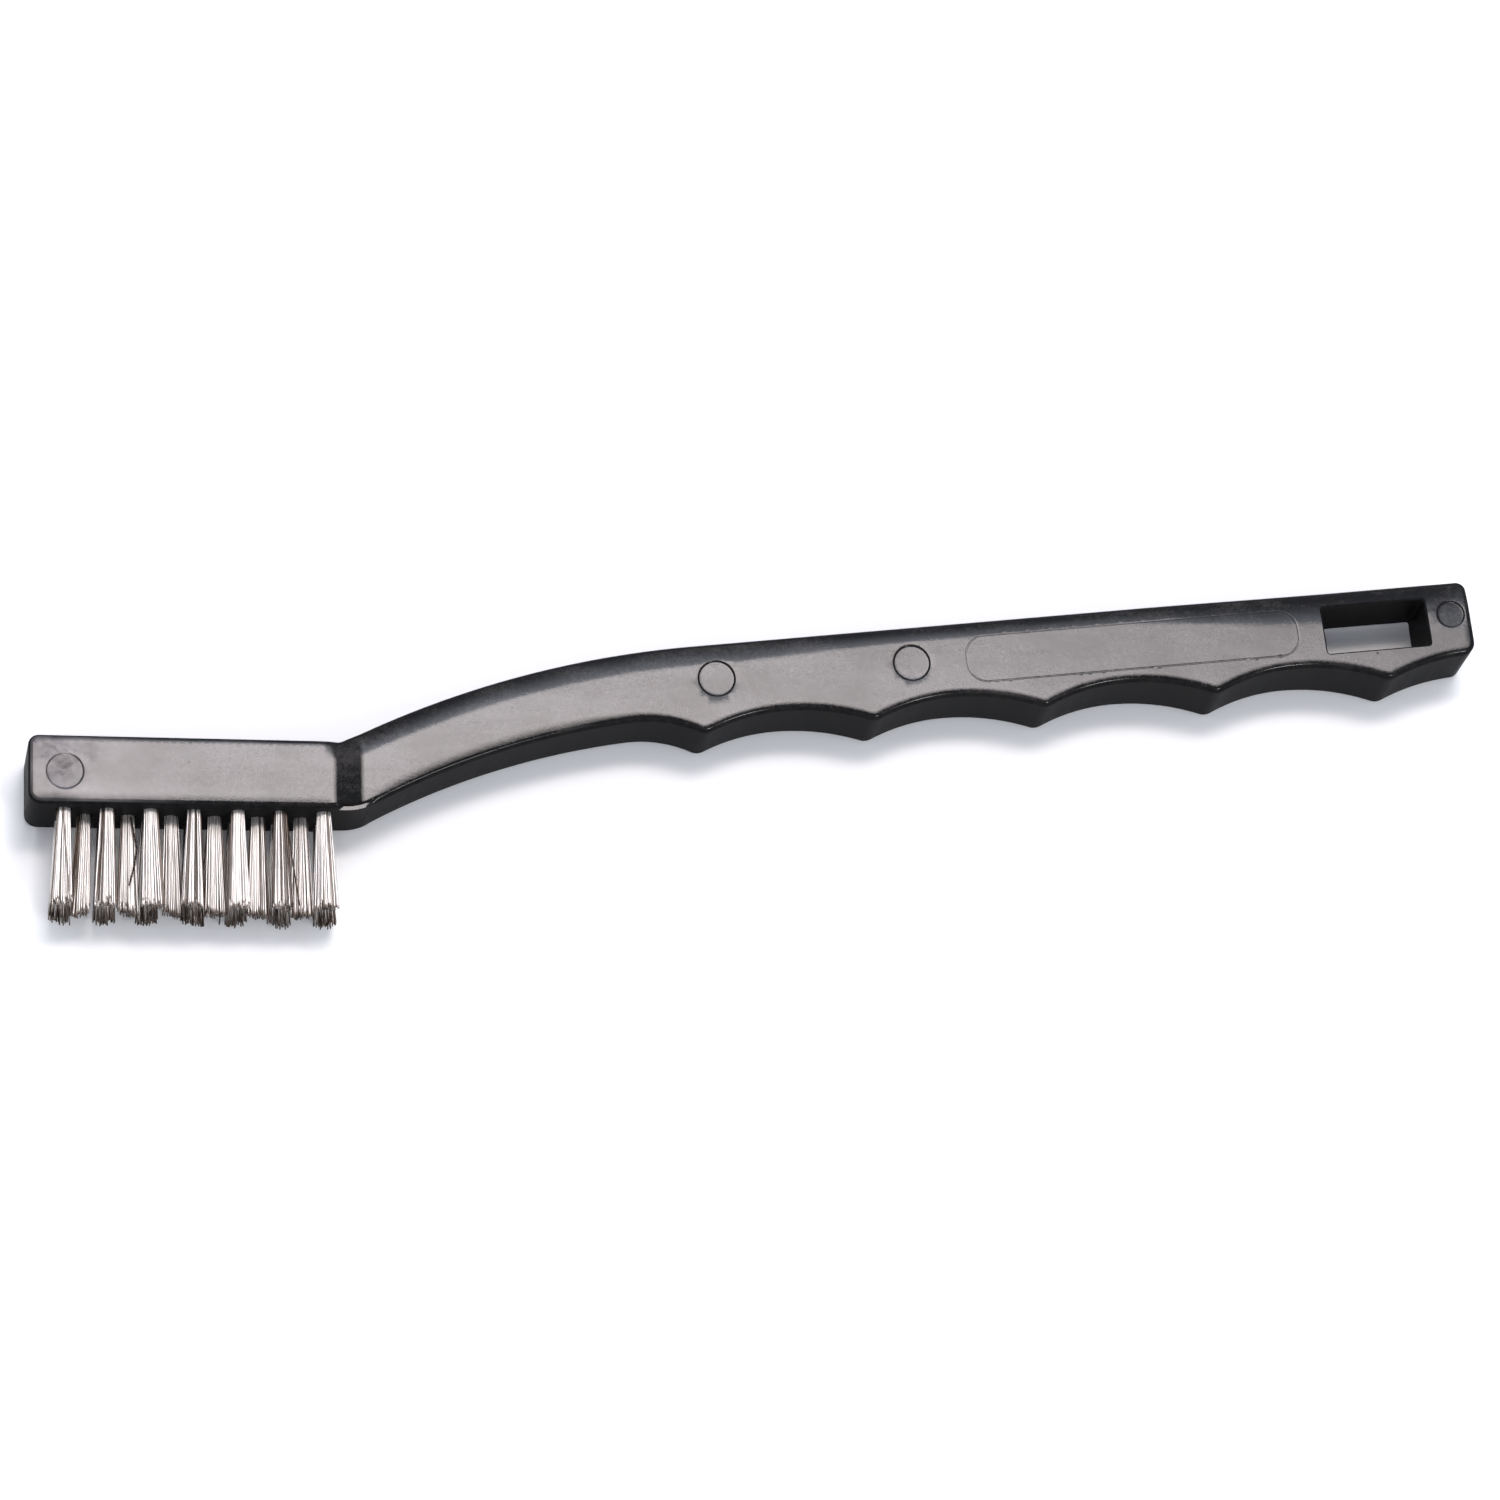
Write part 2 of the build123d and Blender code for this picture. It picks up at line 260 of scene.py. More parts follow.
def outline():
    """Rows of (x, y, heading) round the whole flank and the kind of edge of each row."""
    edges = outline_edges()
    names = [name for name, _, _ in edges]
    rows = [edge for _, edge, _ in edges]
    bends = {}
    corners = [(i, corner) for i, (_, _, corner) in enumerate(edges) if corner]
    for i, (radius, turn) in corners + [(0, (NOSE_FACE_RADIUS, 1))]:
        rows[i - 1], bends[i], rows[i] = round_corner(rows[i - 1], rows[i], radius, turn)
    points, kinds = [], []
    for i, name in enumerate(names):
        if i in bends:
            points.append(bends[i][:-1:CORNER_STRIDE])
            kinds += ["bend"] * len(points[-1])
        points.append(thin_out(rows[i]))
        kinds += [name] * len(points[-1])
    return np.vstack(points), np.array(kinds)


# ---------------------------------------------------------------- thickness of the handle
EDGE_ROUND = 0.6
RING_COUNT = 9
# Rounded-off band along the back. Pairs are the x between which a change builds up.
CROWN_DROP = 0.7
CROWN_FROM = (34.8, 38.8)
TAIL_CROWN_DROP = 0.55
TAIL_CROWN_FROM = (140, 168)
CROWN_POWER = 2.2
CROWN_WIDTH = 3.1
GRIP_CROWN_NARROWER = 0.8
GRIP_CROWN_FROM = (85, 110)
TAIL_CROWN_WIDER = 2.2
TAIL_CROWN_WIDE_FROM = (135, 165)
# Slighter one along the underside and the grooves
FRONT_CROWN_DROP = 0.11
FRONT_CROWN_FROM = (40, 46)
FRONT_CROWN_WIDTH = 2.0
FRONT_CROWN_NARROWER = 0.8
FRONT_CROWN_NARROW_FROM = (65, 82)
# Narrow level ledge that carries the head's lower edge on across the step
LEDGE_HEIGHT = 4.3
LEDGE_FROM = (37.9, 38.7)
LEDGE_TO = (42.3, 43.5)
LEDGE_WIDTH = (0.5, 0.72)
# Slight swell of the head's flanks round the first mark
SWELL_PLACE = (4.0, 4.6)
SWELL_HEIGHT = 0.06
SWELL_SPREAD = 3.0

# Marks of the mould on the upper flank: centre, radius, and the facets (turn, slope)
# of the floor of each
MARK_DEPTH = 0.11
MARK_RIM = 0.18
LEVEL = [(0.0, 0.0)]
FACETS = [(0.4, 0.028), (1.6, 0.045), (2.9, 0.022), (4.1, 0.040), (5.3, 0.028)]
MARKS = [
    (np.array([4.55, 4.15]), 2.4, FACETS),
    (along_back(2.3, 4.85), 2.4, LEVEL),
    (along_back(27.3, 5.0), 2.4, [(0.2, 0.004), (3.3, 0.006)]),
    (along_back(97.5, 4.65), 1.85, [(4.6, 0.045)]),
]
INSERT_CENTRE = (55.9, 5.25)
INSERT_HALF = (21.5, 3.05)
INSERT_CORNER = 2.5
INSERT_LINE_WIDTH = 0.16
INSERT_LINE_DEPTH = 0.02
HOLE_CENTRE = (87.6, 5.35)
HOLE_HALF = (6.75, 3.15)
HOLE_CORNER = 0.35
HOLE_LIP = 0.2
HOLE_STEPS = 4
HOLE_SPACING = 0.7


def smooth(low, high, value):
    """Eased step from 0 at low to 1 at high."""
    share = np.clip((value - low) / (high - low), 0, 1)
    return share * share * (3 - 2 * share)


def flank_height(x):
    """Half thickness at the middle of the flank, with softened bends at the step."""
    slope = (HEAD_HALF - NECK_HALF) / (STEP_END - STEP_START)
    grip_slope = (TAIL_HALF - NECK_HALF) / (along_back(GRIP_LENGTH, 0)[0] - STEP_END)

    def ramp(distance):
        d = np.clip(distance, -STEP_BLEND, STEP_BLEND)
        return np.where(distance > STEP_BLEND, distance, (d + STEP_BLEND) ** 2 / (4 * STEP_BLEND))

    return HEAD_HALF - slope * ramp(x - STEP_START) + (slope + grip_slope) * ramp(x - STEP_END)


def crown_width(x):
    """Width of the rounded-off band along the back of neck and grip."""
    on_grip = GRIP_CROWN_NARROWER * smooth(*GRIP_CROWN_FROM, x)
    return CROWN_WIDTH - on_grip + TAIL_CROWN_WIDER * smooth(*TAIL_CROWN_WIDE_FROM, x)


def front_crown_width(x):
    """Width of the slight rounding-off along the underside and the grooves."""
    return FRONT_CROWN_WIDTH - FRONT_CROWN_NARROWER * smooth(*FRONT_CROWN_NARROW_FROM, x)


def grip_coordinates(x, y):
    """Distance along the back of the grip and below it."""
    dx, dy = x - GRIP_START[0], y - GRIP_START[1]
    cosine, sine = math.cos(GRIP_ANGLE), math.sin(GRIP_ANGLE)
    return dx * cosine + dy * sine, dx * sine - dy * cosine


def insert_distance(x, y):
    """Signed distance to the witness line of the mould insert."""
    along, below = grip_coordinates(x, y)
    qx = np.abs(along - INSERT_CENTRE[0]) - INSERT_HALF[0] + INSERT_CORNER
    qy = np.abs(below - INSERT_CENTRE[1]) - INSERT_HALF[1] + INSERT_CORNER
    outside = np.hypot(np.maximum(qx, 0), np.maximum(qy, 0))
    return outside + np.minimum(np.maximum(qx, qy), 0) - INSERT_CORNER


def mould_marks(x, y):
    """Depth of the pin marks and of the insert's witness line."""
    depth = 0.0
    for centre, radius, facets in MARKS:
        dx, dy = x - centre[0], y - centre[1]
        within = 1 - smooth(-MARK_RIM, 0, np.hypot(dx, dy) - radius)
        tilts = [slope * (dx * math.cos(turn) + dy * math.sin(turn)) for turn, slope in facets]
        depth = depth + within * (MARK_DEPTH - np.max(tilts, axis=0))
    line_share = np.clip(1 - np.abs(insert_distance(x, y)) * 2 / INSERT_LINE_WIDTH, 0, 1)
    return depth + INSERT_LINE_DEPTH * line_share


def surface(x, y, to_edge, to_back, to_front, marked):
    """Height of a flank over the mid plane."""
    z = flank_height(x)
    crown = CROWN_DROP * smooth(*CROWN_FROM, x) + TAIL_CROWN_DROP * smooth(*TAIL_CROWN_FROM, x)
    z = z - crown * np.clip(1 - to_back / crown_width(x), 0, 1) ** CROWN_POWER
    front_crown = FRONT_CROWN_DROP * smooth(*FRONT_CROWN_FROM, x)
    z = z - front_crown * np.clip(1 - to_front / front_crown_width(x), 0, 1) ** 2
    inset = np.clip(1 - to_edge / EDGE_ROUND, 0, 1)
    z = z - EDGE_ROUND * (1 - np.sqrt(1 - inset**2))
    from_swell = np.hypot(x - SWELL_PLACE[0], y - SWELL_PLACE[1])
    z = z + SWELL_HEIGHT * np.exp(-((from_swell / SWELL_SPREAD) ** 2))
    ledge = smooth(*LEDGE_FROM, x) * (1 - smooth(*LEDGE_TO, x)) * (1 - smooth(*LEDGE_WIDTH, to_front))
    z = z + ledge * (LEDGE_HEIGHT - z)
    return z - mould_marks(x, y) if marked else z


# ---------------------------------------------------------------- mesh of the handle
# Targets that are compared at once
BLOCK = 200
# In design millimetres, and in metres
CDT_TOLERANCE = 1e-7
WELD = 2e-7
# Points of the cap this close to the last ring count as lying on it
RING_SLACK = 1.02
RIM_SHARP = math.radians(38)
# Faces whose normal has a smaller z part than this belong to the rim, which gets the dull copy of the
# plastic: partly a duller finish, partly painted shade
RIM_NORMAL = 0.85
# The front line starts this many rows before the end of the bristle face
FRONT_LEAD = 4


def nearest(points, targets):
    """Distance from each point to its nearest target, worked out a block at a time."""
    best = np.full(len(points), np.inf)
    for start in range(0, len(targets), BLOCK):
        block = targets[start:start + BLOCK]
        gap = np.linalg.norm(points[:, None] - block[None], axis=2).min(1)
        best = np.minimum(best, gap)
    return best


def rounded_rectangle(centre, half, corner, steps, spacing):
    """Closed loop of points on the grip, at a given place along and below its back."""
    turns = [(1, 1, 0), (-1, 1, 90), (-1, -1, 180), (1, -1, 270)]
    loop = []
    for sign_x, sign_y, start in turns:
        cx = sign_x * (half[0] - corner)
        cy = sign_y * (half[1] - corner)
        for k in range(steps + 1):
            angle = math.radians(start + 90 * k / steps)
            loop.append((cx + corner * math.cos(angle), cy + corner * math.sin(angle)))
    filled = []
    for (ax, ay), (bx, by) in zip(loop, loop[1:] + loop[:1]):
        count = max(int(math.dist((ax, ay), (bx, by)) / spacing), 1)
        filled += [(ax + (bx - ax) * k / count, ay + (by - ay) * k / count) for k in range(count)]
    return np.array([along_back(centre[0] + u, centre[1] - v) for u, v in filled])


def hole_loop(grow):
    """Outline of the hanging hole, made larger all round."""
    half = (HOLE_HALF[0] + grow, HOLE_HALF[1] + grow)
    return rounded_rectangle(HOLE_CENTRE, half, HOLE_CORNER + grow, HOLE_STEPS, HOLE_SPACING)


def inside(points, polygon):
    """Which points lie inside a closed polygon."""
    x, y = points[:, 0], points[:, 1]
    result = np.zeros(len(points), bool)
    for (x1, y1), (x2, y2) in zip(polygon, np.roll(polygon, -1, axis=0)):
        if y1 != y2:
            crosses = (y1 > y) != (y2 > y)
            result ^= crosses & (x < (x2 - x1) * (y - y1) / (y2 - y1) + x1)
    return result


def triangulate(loops, extra):
    """Triangles between loops: the first is the outer edge, the rest are holes.

    All loops run counter-clockwise. The triangles that count are found by spreading
    from the loops' own edges, without crossing any of them.
    """
    coordinates, edges = [], []
    for loop in loops:
        base = len(coordinates)
        coordinates += [Vector(p) for p in loop]
        edges += [(base + k, base + (k + 1) % len(loop)) for k in range(len(loop))]
    coordinates += [Vector(p) for p in extra]
    result = delaunay_2d_cdt(coordinates, edges, [], 0, CDT_TOLERANCE)
    points = np.array([tuple(v) for v in result[0]])
    faces = [tuple(f) for f in result[2]]
    place = {source: k for k, sources in enumerate(result[3]) for source in sources}
    border = set()
    for k, (a, b) in enumerate(edges):
        outer = k < len(loops[0])
        border.add((place[a], place[b]) if outer else (place[b], place[a]))
    owner = {}
    for number, face in enumerate(faces):
        for edge in zip(face, face[1:] + face[:1]):
            owner[edge] = number
    waiting = [owner[edge] for edge in border if edge in owner]
    kept = set()
    while waiting:
        number = waiting.pop()
        if number in kept:
            continue
        kept.add(number)
        face = faces[number]
        for a, b in zip(face, face[1:] + face[:1]):
            if (a, b) not in border and (b, a) in owner:
                waiting.append(owner[b, a])
    return points, np.array([faces[number] for number in sorted(kept)])


# Rows of points inside the back and the front edge, at these distances from it
BACK_ROWS = [0.8, 1.0, 1.25, 1.5, 1.8, 2.1, 2.4, 2.7, 2.95, 3.2, 3.6, 4.2, 5.0, 6.0, 7.2, 8.4, 9.6, 10.8]
FRONT_ROWS = [0.7, 0.78, 0.9, 1.05, 1.2, 1.4, 1.6, 1.8, 2.1]
ROW_SLACK = 0.03
# Columns of points on both sides of the two bends of the step
STEP_COLUMNS = [0.0, 0.08, 0.16, 0.25, 0.4]
COLUMN_HEIGHTS = (0.3, 13.0, 0.45)
# Rings of points round the marks, by how far they are outside the rim
MARK_ROWS = [-2.0, -1.6, -1.2, -0.8, -0.5, -0.25, -0.18, -0.13, -0.08, -0.04, 0.0, 0.05]
MARK_SEGMENTS = 72
# Loops of points along the insert's line, in widths of the line
INSERT_LOOPS = (-0.5, -1.0, 0.0, 0.5, 1.0)
INSERT_STEPS = 16
INSERT_SPACING = 0.6
# Room kept free round the marks, the insert's line, the outline and the hole
MARK_ROOM = 0.25
INSERT_ROOM = 0.3
EDGE_ROOM = 0.1
HOLE_ROOM = 0.12
# Of points that share a square of this size, only one is kept
GRID = 0.05


def spread_points(back_line, front_line):
    """Points along the edges and across the step."""
    rows = []
    for edge, distances, step in ((front_line, FRONT_ROWS, 1), (back_line, BACK_ROWS, 2)):
        for distance in distances:
            row = (edge[:, :2] + inward(edge) * distance)[::step]
            rows.append(row[nearest(row, edge[:, :2]) > distance - ROW_SLACK])
    shifts = [side * column for column in STEP_COLUMNS for side in (1, -1)]
    for x in sorted({bend + shift for bend in (STEP_START, STEP_END) for shift in shifts}):
        rows.append(np.array([(x, y) for y in np.arange(*COLUMN_HEIGHTS)]))
    return np.vstack(rows)


def mark_points():
    """Rings of points round each mark and loops along the insert's line."""
    rings = []
    for centre, radius, _ in MARKS:
        for share in MARK_ROWS:
            turn = np.linspace(0, 2 * math.pi, MARK_SEGMENTS, endpoint=False) + share
            rings.append(centre + (radius + share) * np.stack([np.cos(turn), np.sin(turn)], 1))
    for shift in INSERT_LOOPS:
        grow = shift * INSERT_LINE_WIDTH
        half = (INSERT_HALF[0] + grow, INSERT_HALF[1] + grow)
        corner = INSERT_CORNER + grow
        rings.append(rounded_rectangle(INSERT_CENTRE, half, corner, INSERT_STEPS, INSERT_SPACING))
    return np.vstack(rings)


def interior_points(back_line, front_line, ring, hole, edge_line):
    """Points spread over the flank, close together where its surface bends."""
    free = spread_points(back_line, front_line)
    clear = np.abs(insert_distance(free[:, 0], free[:, 1])) > INSERT_ROOM
    for centre, radius, _ in MARKS:
        clear &= np.hypot(*(free - centre).T) > radius + MARK_ROOM
    order = np.unique(np.round(free / GRID).astype(int), axis=0, return_index=True)[1]
    kept = np.zeros(len(free), bool)
    kept[order] = True
    points = np.vstack([free[clear & kept], mark_points()])
    keep = inside(points, ring) & ~inside(points, hole)
    keep &= nearest(points, edge_line) > EDGE_ROUND + EDGE_ROOM
    keep &= nearest(points, hole) > HOLE_ROOM
    return points[keep]


class Builder:
    """Collects patches of a mesh in design millimetres."""

    def __init__(self):
        self.vertices = []
        self.faces = []

    def add(self, vertices, faces):
        base = len(self.vertices)
        self.vertices += [tuple(v) for v in vertices]
        self.faces += [tuple(int(base + k) for k in face) for face in faces]

    def strip(self, rows, closed=True):
        """Quads between neighbouring rows of equal length."""
        rows = np.array(rows)
        count = rows.shape[1]
        faces = []
        for r in range(len(rows) - 1):
            for k in range(count if closed else count - 1):
                n = (k + 1) % count
                faces.append((r * count + k, r * count + n, (r + 1) * count + n, (r + 1) * count + k))
        self.add(rows.reshape(-1, 3), faces)


def with_height(points, z):
    """Points of the flank's plane, lifted to z."""
    return np.column_stack([points, np.broadcast_to(z, len(points))])


BORE_RADIUS = 1.0
BORE_DEPTH = 5.6
BORE_SEGMENTS = 28


def tuft_nodes():
    return sorted(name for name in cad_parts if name.startswith("tuft_"))


def box_middle(node):
    """Middle of a CAD node's box, in the row frame."""
    low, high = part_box(node)
    return (np.array(low) + np.array(high)) / 2


def tuft_centres():
    """Mouth centres (x, z) of the bristle holes in the design frame."""
    return [((box_middle(node) - ORIGIN) / MM)[[0, 2]] for node in tuft_nodes()]


def make_handle(flank_material, rim_material):
    rows, kinds = outline()
    edge_line = rows[:, :2]
    back_line = rows[kinds == "back"]
    last_groove = np.flatnonzero(kinds == "groove")[-1]
    front_line = rows[np.flatnonzero(kinds == "face")[-FRONT_LEAD]:last_groove + 1]
    rounding = EDGE_ROUND * (1 - np.cos(np.linspace(0, math.pi / 2, RING_COUNT)))
    rings = [edge_line + inward(rows) * distance for distance in rounding]
    hole = hole_loop(HOLE_LIP)
    upper_line = np.vstack([back_line, rows[kinds == "top"]])
    extra = interior_points(upper_line, front_line, rings[-1], hole, edge_line)
    cap, triangles = triangulate([rings[-1], hole], extra)

    def height(points, to_edge, marked):
        to_back = nearest(points, back_line[:, :2])
        to_front = nearest(points, front_line[:, :2])
        return surface(points[:, 0], points[:, 1], to_edge, to_back, to_front, marked)

    builder = Builder()
    cap_edge = nearest(cap, edge_line)
    cap_edge = np.where(cap_edge < EDGE_ROUND * RING_SLACK, EDGE_ROUND, cap_edge)
    for side in (1, -1):
        z = side * height(cap, cap_edge, side == 1)
        builder.add(with_height(cap, z), triangles if side == 1 else triangles[:, ::-1])
        stack = [with_height(ring, side * height(ring, d, side == 1)) for ring, d in zip(rings, rounding)]
        builder.strip(stack if side == -1 else stack[::-1])
    top = height(edge_line, 0.0, False)
    wall = [with_height(edge_line, side * top) for side in (-1, 1)]
    first, last = np.flatnonzero(kinds == "face")[[0, -1]]
    open_wall = [np.roll(row, -last, axis=0)[: len(rows) - (last - first) + 1] for row in wall]
    builder.strip(open_wall, closed=False)
    bristle_face(builder, wall, first, last)
    hang_hole(builder, hole, height)
    finish_handle(builder, flank_material, rim_material)


def bristle_face(builder, wall, first, last):
    """Flat face of the head with its blind bristle holes."""
    low, high = [row[first:last + 1] for row in wall]
    border = np.vstack([low, high[::-1]])[:, [0, 2]]
    turn = np.linspace(0, 2 * math.pi, BORE_SEGMENTS, endpoint=False)
    circle = BORE_RADIUS * np.stack([np.cos(turn), np.sin(turn)], 1)
    mouths = [circle + centre for centre in tuft_centres()]
    points, triangles = triangulate([border] + mouths, [])
    builder.add(np.insert(points, 1, 0.0, axis=1), triangles)
    for mouth in mouths:
        rows = [np.insert(mouth, 1, depth, axis=1) for depth in (BORE_DEPTH, 0.0)]
        builder.strip(rows)
        builder.add(rows[0], [tuple(range(BORE_SEGMENTS))])


def hang_hole(builder, hole, height):
    """Walls of the hanging hole, with a small lip at both mouths."""
    inner = hole_loop(0.0)
    top = height(hole, EDGE_ROUND, False)
    rows = [with_height(hole, -top), with_height(inner, HOLE_LIP - top)]
    rows += [with_height(inner, top - HOLE_LIP), with_height(hole, top)]
    builder.strip(rows)


def make_piece(name, vertices, faces, sharp_angle, weld=0.0):
    """Smooth-shaded mesh in the row frame; weld joins points that close together."""
    mesh = bpy.data.meshes.new(name)
    mesh.from_pydata([tuple(v) for v in vertices], [], faces)
    if weld:
        joined = bmesh.new()
        joined.from_mesh(mesh)
        bmesh.ops.remove_doubles(joined, verts=joined.verts, dist=weld)
        bmesh.ops.recalc_face_normals(joined, faces=joined.faces)
        joined.to_mesh(mesh)
        joined.free()
    mesh.polygons.foreach_set("use_smooth", [True] * len(mesh.polygons))
    mesh.set_sharp_from_angle(angle=sharp_angle)
    piece = bpy.data.objects.new(name, mesh)
    bpy.context.scene.collection.objects.link(piece)
    return piece


def finish_handle(builder, flank_material, rim_material):
    """Welds the patches into one shell and gives the steep faces the rim's dull material, which keeps
    them dark as painted shade.
    """
    vertices = ORIGIN + np.array(builder.vertices) * MM
    piece = make_piece("handle_shell", vertices, builder.faces, RIM_SHARP, WELD)
    mesh = piece.data
    mesh.materials.append(flank_material)
    mesh.materials.append(rim_material)
    steep = [int(abs(polygon.normal.z) < RIM_NORMAL) for polygon in mesh.polygons]
    mesh.polygons.foreach_set("material_index", steep)
    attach(piece, "root")
    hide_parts("handle")


# ---------------------------------------------------------------- wires
WIRE_RADIUS = 0.095 * MM
WIRE_SIDES = 6
WIRE_SHARP = math.radians(75)
FIRST_SEED = 100
LEGS_PER_TUFT = 64
MOUTH_RADIUS = 0.87 * MM
TIP_RADIUS = 1.5 * MM
FLARE_SPREAD = (0.93, 1.05)
# The first and the seventh tuft of a row lean outwards, and each tuft a little at random
END_LEAN = {"_1": -0.4 * MM, "_7": 0.25 * MM}
LEAN_SCATTER = 0.12 * MM
TIP_WANDER = 0.035 * MM
BOW_SCATTER = 0.02 * MM
# Share of the wires that stand out from their tuft, and how far
UNRULY_SHARE = 0.035
UNRULY_SPREAD = 0.45 * MM
# How far the wires of a row stop short of the trim plane, and how uneven they are
ROW_SHORT = {"front": 0.15 * MM, "middle": -0.05 * MM, "rear": -0.35 * MM}
TIP_SCATTER = 0.95 * MM
TRIM_SLANT = 0.16
# Places along a leg where its path has a point, and how dark each row is painted at its tips: painted
# shade, reaching furthest up the rear rows, which lie behind the front ones
LEG_SHARES = (0, 0.12, 0.35, 0.6, 0.82, 0.96, 1.0)
TIP_PAINTED_SHADE = {"front": (1.0, 1.0, 0.3), "middle": (1.0, 0.7, 0.25), "rear": (0.75, 0.5, 0.28)}
# Shades of the dark and of the bright wires, and how many are dark: the dark wires are painted shade of
# the gaps between wires, more of them at a tuft's sides
DARK_SHADES = (0, 0.3)
BRIGHT_SHADES = (0.55, 1)
SHADED_WIRES = 0.1
SHADED_SIDE_WIRES = 0.38
# Inside the bore: the anchor, the way down to it (depth, share of the squeeze), the fold
ANCHOR_TOP = 4.7 * MM
ANCHOR_HALF = 0.3 * MM
SQUEEZE = 0.62
WAY_DOWN = ((1.2 * MM, 0.25), (3.0 * MM, 0.9), (4.3 * MM, 1.0))
FOLD_ANGLES = (30, 60, 90, 120, 150)
FOLD_MARGIN = 0.1 * MM
FOLD_WIDTH = 0.9 * MM
FOLD_LEAST = 0.25


def tuft_legs(rng):
    """Leg places (x, z) at the mouth on the +z side of the anchor, sunflower packed."""
    golden = math.pi * (3 - math.sqrt(5))
    k = np.arange(LEGS_PER_TUFT) + 0.5
    radius = MOUTH_RADIUS * np.sqrt(k / LEGS_PER_TUFT)
    spin = rng.uniform(0, 6.28)
    angle = k * golden + spin
    x, z = radius * np.cos(angle), radius * np.sin(angle)
    keep = z >= 0
    return np.stack([x[keep], z[keep]], 1)


def tube(points, radius, sides):
    """Vertices and faces of round wires along paths; points is (wires, steps, 3)."""
    tangent = np.gradient(points, axis=1)
    tangent /= np.linalg.norm(tangent, axis=2, keepdims=True)
    across = np.cross(tangent, np.array([1.0, 0.0, 0.0]))
    across /= np.linalg.norm(across, axis=2, keepdims=True)
    other = np.cross(tangent, across)
    turn = np.arange(sides) * 2 * math.pi / sides
    ring = across[:, :, None, :] * np.cos(turn)[None, None, :, None]
    ring = ring + other[:, :, None, :] * np.sin(turn)[None, None, :, None]
    vertices = (points[:, :, None, :] + radius * ring).reshape(-1, 3)
    wires, steps = points.shape[:2]
    w = np.arange(wires)[:, None, None] * steps * sides
    s = np.arange(steps - 1)[None, :, None] * sides
    j = np.arange(sides)[None, None, :]
    a = w + s + j
    b = w + s + (j + 1) % sides
    quads = np.stack([a, b, b + sides, a + sides], -1).reshape(-1, 4).tolist()
    first = (w[:, 0] + j[0]).tolist()
    last = (w[:, 0] + (steps - 1) * sides + j[0]).tolist()
    return vertices, quads + [row[::-1] for row in first] + last


def at_height(places, y):
    """Points at (x, z) places and a height."""
    return np.stack([places[:, 0], np.broadcast_to(y, len(places)), places[:, 1]], 1)


def tuft_paths(node, rng):
    """Paths of a tuft's folded wires: up one leg, round the anchor, and down the other."""
    low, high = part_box(node)
    mouth_y = ORIGIN[1]
    legs = tuft_legs(rng)
    count = len(legs)
    lean = rng.normal(0, LEAN_SCATTER, 2) + [END_LEAN.get(node[-2:], 0.0), 0.0]
    slant = rng.normal(0, TRIM_SLANT)
    trim = low.y + ROW_SHORT[node.split("_")[1]]

    def leg(side):
        mouth = legs * [1, side]
        flare = TIP_RADIUS / MOUTH_RADIUS * rng.uniform(*FLARE_SPREAD, (count, 1))
        tip = mouth * flare + lean + rng.normal(0, TIP_WANDER, (count, 2))
        unruly = rng.random(count) < UNRULY_SHARE
        tip[unruly] += rng.normal(0, UNRULY_SPREAD, (unruly.sum(), 2))
        end = trim + TIP_SCATTER * rng.random(count) ** 2 + slant * tip[:, 0]
        inner = np.stack([mouth[:, 0], side * (ANCHOR_HALF + abs(mouth[:, 1]) * SQUEEZE)], 1)
        bow = rng.normal(0, BOW_SCATTER, (count, 2))
        rows = []
        for share in reversed(LEG_SHARES):
            place = mouth + (tip - mouth) * share + bow * math.sin(math.pi * share)
            rows.append(at_height(place, mouth_y + (end - mouth_y) * share))
        for depth, share in WAY_DOWN:
            rows.append(at_height(mouth + (inner - mouth) * share, mouth_y + depth))
        return rows, inner

    up, inner_up = leg(1)
    down, inner_down = leg(-1)
    fold_y = mouth_y + ANCHOR_TOP
    room = high.y - FOLD_MARGIN - fold_y
    rise = room * np.clip(abs(inner_up[:, 1]) / FOLD_WIDTH, FOLD_LEAST, 1)
    bend = []
    for angle in FOLD_ANGLES:
        turn = math.radians(angle)
        x = inner_up[:, 0] + (inner_down[:, 0] - inner_up[:, 0]) * angle / 180
        place = np.stack([x, inner_up[:, 1] * math.cos(turn)], 1)
        bend.append(at_height(place, fold_y + rise * math.sin(turn)))
    return np.stack(up + bend + down[::-1], 1) + box_middle(node) * [1, 0, 1]


def add_shade(piece, values):
    """Gives each point its own shade, which the wire's material reads."""
    shade = piece.data.attributes.new("shade", "FLOAT", "POINT")
    shade.data.foreach_set("value", values.astype(np.float32))


def make_tufts(material):
    for number, node in enumerate(tuft_nodes()):
        rng = np.random.default_rng(FIRST_SEED + number)
        paths = tuft_paths(node, rng)
        count, steps = paths.shape[:2]
        vertices, faces = tube(paths, WIRE_RADIUS, WIRE_SIDES)
        name = node.replace("tuft", "wires")
        piece = make_piece(name, vertices, faces, WIRE_SHARP)
        # Painted shade: wires at a tuft's sides are dark more often, as if shaded by their neighbours.
        beside = np.abs(paths[:, 0, 0] - box_middle(node)[0]) / TIP_RADIUS
        dark = rng.random(count) < SHADED_WIRES + SHADED_SIDE_WIRES * beside**3
        dark_shade = rng.uniform(*DARK_SHADES, count)
        bright_shade = rng.uniform(*BRIGHT_SHADES, count)
        # Painted shade darkens each wire towards its tip.
        tip = TIP_PAINTED_SHADE[node.split("_")[1]]
        along = np.concatenate([tip[::-1], np.ones(steps - 2 * len(tip)), tip])
        per_wire = np.where(dark, dark_shade, bright_shade)
        add_shade(piece, np.repeat(np.outer(per_wire, along), WIRE_SIDES))
        piece.data.materials.append(material)
        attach(piece, "root")
        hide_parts(node)


